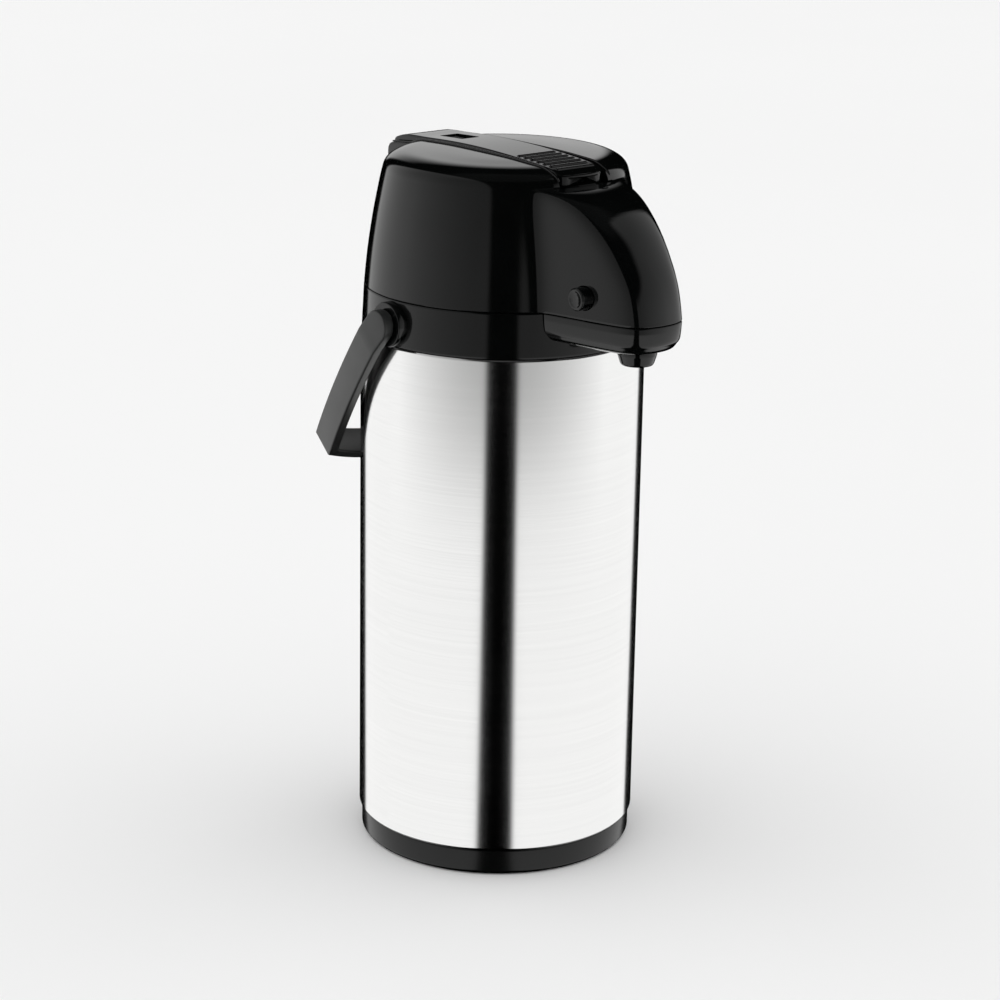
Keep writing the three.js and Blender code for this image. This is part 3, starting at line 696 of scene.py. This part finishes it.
def collar():
    profile = [(73.6, 289.5), (76.4, 289.5, 0.5), (76.35, 291), (75.3, 313, 0.6), (74.8, SEAM_Z, 0.5),
               (72.2, SEAM_Z, 0.5), (72.2, 294.3), (37, 294.3), (37, 300), (33.3, 300), (33.3, 291.2), (73.6, 291.2)]
    ring = lathe("collar", profile, radius=0.35, sides=224)
    for side in (-1, 1):
        flat = [(0, 72), (12, 72, 0), (12, 79.6, 0), (11.55, 80.4, 0.7), (7.4, 80.4, 0.3), (7.0, 80.0, 0.3),
                (0, 80.0)]
        boss = lathe("tool", [(r, side * x) + tuple(k) for r, x, *k in flat], radius=0.3, sides=96,
                     at=(0, 0, PIVOT_Z), axis="x")
        carve(ring, boss, how="UNION")
        lug = block(side * LUG_X - LUG_WIDTH / 2, side * LUG_X + LUG_WIDTH / 2, 73.6, HINGE_Y, 303, 313.3)
        carve(ring, lug, drum(KNUCKLE_R, LUG_WIDTH, "x", side * LUG_X, HINGE_Y, HINGE_Z, 48), how="UNION")
    carve(ring, *pair(PIVOT_R, 26, 76), *pair(7, 4.2, 69.2),
          drum(BORE_R, BORE_LENGTH, "x", 0, HINGE_Y, HINGE_Z, 32), block(-10, 10, -80, -70, 299.5, 320))
    finish(ring, "pot", GLOSS, ["collar_ring"], 32)


def spout():
    """The spout's lower half, which follows the head's lowest outline, and the nozzle under it."""
    def tray(rows, low):
        """A skin over rows of (share of the height up to the seam, inset)."""
        loops = []
        for share, inset in rows:
            z = low + (SEAM_Z - low) * share
            loops.append(outline(z, 60, HEAD[0][2] - inset, HEAD[0][3] - inset * 0.9))
        return strips(loops)

    fine = along([(0, 9), (0.06, 6.2), (0.16, 3.6), (0.34, 1.5), (0.6, 0.4), (0.955, 0.03)], 24).tolist()
    fine += [(0.975, 0.12), (0.99, 0.3), (1, 0.75)]
    verts, faces = tray([(0.0, 10.5), (0.0, 9.6)] + fine, 297.8)
    shell = made("spout_tray", verts, faces, material=GLOSS)
    verts, faces = tray([(0, 11), (0.2, 5.2), (0.5, 2.6), (1.4, 2.4)], 300)
    carve(shell, made("tool", verts, faces))
    carve(shell, *(block(x - 4, x + 4, -86, -60, 299, 311) for x in (-SCREW_X, SCREW_X)), how="UNION")
    carve(shell, drum(76.75, 60, "z", 0, 0, 300, 224), drum(10.65, 20, "z", 0, NOZZLE_Y, 294, 96),
          *(drum(1.9, 24, "y", x, -74, 304.5, 24) for x in (-SCREW_X, SCREW_X)))
    finish(shell, "pot", GLOSS, ["spout_housing"], 35)
    lathe("spout_nozzle",
          [(5, 290.1), (8.2, 290.1, 0.9), (8.9, 291.2, 0.9), (10.3, 295.6, 1.2), (10.3, 300.2), (7.2, 300.2),
           (5, 296.8)],
          "pot", GLOSS, ["nozzle"], at=(0, NOZZLE_Y, 0))


def button(side, word):
    """A round push button with a dished face, on a collar that stops it inside."""
    face = 31.6
    flat = [(0, 18), (7.6, 18), (7.6, 20.4), (BUTTON_R, 20.4), (BUTTON_R, face - 0.7, 0.7), (5.2, face, 0.4),
            (4.5, face, 0.3), (3.6, face - 0.3), (2.4, face - 0.5), (1.2, face - 0.6), (0.3, face - 0.62),
            (0, face - 0.62)]
    lathe("side_button_" + word, [(r, side * x) + tuple(k) for r, x, *k in flat], "catch_" + word,
          GLOSS, ["button_" + word], radius=0.3, sides=96, at=(0, BUTTON_Y, BUTTON_Z), axis="x", crease=50)


# ---- handle ----
STRAP_T, STRAP_W, STRAP_TURN = 6.0, 17.2, math.radians(42.5)  # thickness, width, how far it hangs back
STRAP_X, STRAP_V, GRIP_BOW = 84.2, 112.8, 14.5  # arm's place across, arm's length, grip's bow
STRAP_EDGE, EDGE_POINTS = 1.3, 6


def arm_x(v):
    """The arm's place across at a distance down from the pivot: it leans inwards."""
    below = max(v - 12, 0)
    return STRAP_X - 0.15 * below - 0.0007 * below * below


def handle():
    """A flat strap: each arm is round at its pivot, and the bowed grip meets the arms in mitred corners."""
    half_w = STRAP_W / 2
    arm = [-half_w + 0.1 + d for d in (0, 0.15, 0.45, 0.9, 1.5, 2.3, 3.3, 4.5, 6.0, 8.4)]
    arm += list(np.arange(3, STRAP_V - 1, 3.0))
    line = [(arm_x(v), v) for v in arm] + [(arm_x(STRAP_V), STRAP_V)]
    corner = arm_x(STRAP_V)
    line += [(corner * s, STRAP_V + GRIP_BOW * (1 - s * s)) for s in np.linspace(0.965, 0, 28)]
    line += [(-x, v) for x, v in line[-2::-1]]
    pts = [np.array(p, float) for p in line]
    s, c = math.sin(STRAP_TURN), math.cos(STRAP_TURN)
    loops = []
    for i, p in enumerate(pts):
        a = p - pts[i - 1] if i else pts[1] - p
        b = pts[i + 1] - p if i < len(pts) - 1 else a
        a, b = a / np.linalg.norm(a), b / np.linalg.norm(b)
        way = (a + b) / np.linalg.norm(a + b)
        normal = np.array([way[1], -way[0]])
        stretch = 1 / max(normal @ np.array([b[1], -b[0]]), 0.5)
        v = p[1]
        h = half_w if v > 0 else math.sqrt(max(half_w ** 2 - v * v, 0.02))
        t = STRAP_T / 2
        r = min(STRAP_EDGE, h * 0.9)
        ring = []
        for cx, cw, a0 in ((t - r, h - r, 0), (-t + r, h - r, 90), (-t + r, -h + r, 180), (t - r, -h + r, 270)):
            for k in range(EDGE_POINTS):
                ang = math.radians(a0 + 90 * k / (EDGE_POINTS - 1))
                u, w = cx + r * math.cos(ang), cw + r * math.sin(ang)
                x, vv = p + normal * u * stretch
                ring.append((x, s * vv + c * w, PIVOT_Z - c * vv + s * w))
        loops.append(ring)
    verts, faces = strips(loops)
    strap = made("bail_strap", verts, faces)
    carve(strap, *pair(PIVOT_R, 8, 81.6))
    finish(strap, "carrying_handle", SATIN, ["handle"], 32)


# ---- body and base ----


def body_and_base():
    lathe("casing_tube",
          [(74.2, 14.6, 0.3), (76.2, 14.6, 0.7), (77, 15.8, 0.9), (77, 288.4, 0.7), (76.3, 289.2, 0.4),
           (73.5, 289.2, 0.3), (73.5, 288.4, 0.3), (76.2, 288.4, 0.3), (76.2, 15.4, 0.3), (74.2, 15.4, 0.3)],
          "pot", STEEL, ["outer_casing"], sides=256)
    lathe("swivel_foot",
          [(0, 0), (59.7, 0), (59.7, 1.5), (68.3, 1.5), (68.3, 0), (73.6, 0, 1.0), (75.5, 1.9, 1.5),
           (75.5, 14.2, 0.9), (73, 14.2), (73, 2.8), (12, 2.8), (12, 11), (6.3, 11),
           (6.3, 7), (9.6, 7), (9.6, 2.8), (0, 2.8)],
          "base", BASE_BLACK, ["swivel_base"], sides=224)
    lathe("rubber_foot", [(60, 0), (68, 0), (68, 1.2), (60, 1.2)], "base", RUBBER, ["foot_ring"],
          radius=0.3, sides=160)
    plug = lathe(
        "stopper_body",
        [(0, 312), (9.3, 312, 0.8), (10.5, 310.8, 0.8), (10.5, 303.5, 0.8), (36.5, 303.5, 0.8), (36.5, 300.3),
         (32.8, 300.3), (32.8, 296), (26.6, 296), (26.6, 284.4), (24.3, 284.4), (24.3, 279.6), (26.6, 279.6),
         (26.6, 272), (24, 268), (6.3, 268), (6.3, 278), (4, 278), (4, 308), (0, 308)])
    carve(plug, drum(4.95, 36, "y", 0, -22, 306.5, 48), drum(2, 50, "z", 0, 20, 290, 32))
    finish(plug, "pot", WHITE, ["stopper"], 35)


# ---- pump ----


def pump():
    """Bellows and return spring, each given a mesh of its own, and the plunger on them."""
    folds, low, high = 5, 317.3, 341.2
    step = (high - low) / folds
    outside = [(25, low)]
    for i in range(folds):
        outside += [(31, low + (i + 0.5) * step, 1.0), (25, low + (i + 1) * step, 1.0)]
    inside = [(r - 1.3, z, 0.8) for r, z, *k in outside[::-1]]
    folded = lathe("bellows_folds", outside + inside, BODY["bellows"], RUBBER, ["bellows"],
                   crease=60)
    turns, coil_r, start_z, end_z = 4, 13, low + 1.4, high - 1.6
    path = []
    for t in np.linspace(0, 1, turns * 40 + 1):
        a = 2 * math.pi * turns * t
        path.append((coil_r * math.cos(a), coil_r * math.sin(a), start_z + (end_z - start_z) * t))
    spring = tube("spring_coil", path, 1.1, BODY["return_spring"], BRIGHT, ["return_spring"],
                  sides=14)
    for part in (folded, spring):
        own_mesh(part)
    lathe("pump_plunger",
          [(0, 341.5), (30, 341.5, 0.8), (30, 344, 0.8), (9.5, 345.5, 2), (6, 348, 1.5), (6, 363, 2), (5.2, 367.2, 2),
           (3, 369.4, 1), (0, 370)],
          BODY["plunger"], WHITE, ["plunger"], sides=96)


# ---- the CAD parts that keep their own meshes ----


REPLACED = {
    "head_cover", "lever", "lock_slider", "collar_ring", "spout_housing", "nozzle", "button_left", "button_right",
    "handle", "outer_casing", "swivel_base", "foot_ring", "stopper", "bellows", "plunger", "return_spring",
}


def carried():
    """Gives the CAD parts that no piece stands for their materials and shading, and leaves their shapes."""
    for name, obj in frame["nodes"].items():
        if name in REPLACED:
            continue
        obj.data.materials.clear()
        obj.data.materials.append(CARRIED_FINISH[SLOT_OF[name]])
        shade(obj.data, 38)


head()
beads()
lever()
slider()
collar()
spout()
button(-1, "left")
button(1, "right")
handle()
body_and_base()
pump()
carried()

# ---- studio ----
TOWARD = (-0.6428, -0.7660)  # the way from the object to the camera, seen from above
PANEL_AIM, PANEL_HALF = math.radians(79), math.radians(67)  # each side panel's middle, and half its spread
FLOOR_HALF, FLOOR_Z = 30, -0.0002  # metres


def studio():
    """Two wide side panels, one panel behind, a faint glow overhead, a pale floor and a soft sun."""
    world = bpy.data.worlds.new("studio")
    bpy.context.scene.world = world
    world.use_nodes = True
    n = Nodes(world.node_tree)
    back = world.node_tree.nodes["Background"]
    x, y, z = n.split(n.add("ShaderNodeTexCoord").outputs["Generated"])

    def dot(a, b):
        return n.math("ADD", n.math("MULTIPLY", x, a), n.math("MULTIPLY", y, b))

    def step(value, low, high, flip=False):
        return n.span(value, low, high, 1.0 if flip else 0.0, 0.0 if flip else 1.0, smooth=True)

    near, across = dot(*TOWARD), dot(-TOWARD[1], TOWARD[0])
    def times(first, *more):
        for value in more:
            first = n.math("MULTIPLY", first, value)
        return first

    # the side panels: dimmer towards the camera and upwards, with one corner high on the right left out
    aim = n.math("ADD", times(near, math.cos(PANEL_AIM)), times(n.math("ABSOLUTE", across), math.sin(PANEL_AIM)))
    panels = step(aim, math.cos(PANEL_HALF + 0.035), math.cos(PANEL_HALF - 0.035))
    fade = n.math("SUBTRACT", 1.0, times(n.span(near, 0.0, 0.92, 0.0, 0.6), step(z, -0.27, -0.2)))
    high = n.math("ADD", times(z, 0.8), times(near, 0.6))
    corner = times(step(across, -0.05, 0.05), step(high, 0.68, 0.80))
    sides = times(panels, 1.07, times(fade, n.math("SUBTRACT", 1.0, corner)), n.span(z, 0.0, 0.8, 1.0, 0.45))
    # the panel behind the object, low and a little left, and the glow overhead
    behind = times(step(across, -0.33, -0.25), step(across, 0.05, 0.12, flip=True), step(near, -0.3, -0.5),
                   step(z, 0.0, 0.06), n.span(z, 0.24, 0.54, 0.8, 0.0))
    overhead = times(step(z, 0.84, 0.93), 0.05)
    n.join(n.math("ADD", n.math("ADD", sides, behind), overhead), back.inputs["Strength"])
    back.inputs["Color"].default_value = (1.0, 1.0, 0.995, 1)

    mat, n, shader, place = start("floor_white")
    cloud = n.noise(place, 0.8, 3.0, 0.5)
    n.join(n.mix(cloud, (0.90, 0.90, 0.90, 1), (0.93, 0.93, 0.93, 1)), shader.inputs["Base Color"])
    shader.inputs["Roughness"].default_value = 0.9
    shader.inputs["Specular IOR Level"].default_value = 0.1
    mesh = bpy.data.meshes.new("floor")
    corners = ((-1, -1), (1, -1), (1, 1), (-1, 1))
    mesh.from_pydata([(x * FLOOR_HALF, y * FLOOR_HALF, FLOOR_Z) for x, y in corners], [], [(0, 1, 2, 3)])
    mesh.materials.append(mat)
    floor = bpy.data.objects.new("floor", mesh)
    bpy.context.scene.collection.objects.link(floor)
    floor.visible_glossy = False

    lamp = bpy.data.lights.new("overhead", "SUN")
    lamp.angle, lamp.energy = math.radians(110), 2.35
    light_obj = bpy.data.objects.new("overhead", lamp)
    light_obj.location = (0, 0, 3.0)
    light_obj.visible_glossy = False
    bpy.context.scene.collection.objects.link(light_obj)
    bpy.context.scene.view_settings.view_transform = "Standard"


studio()
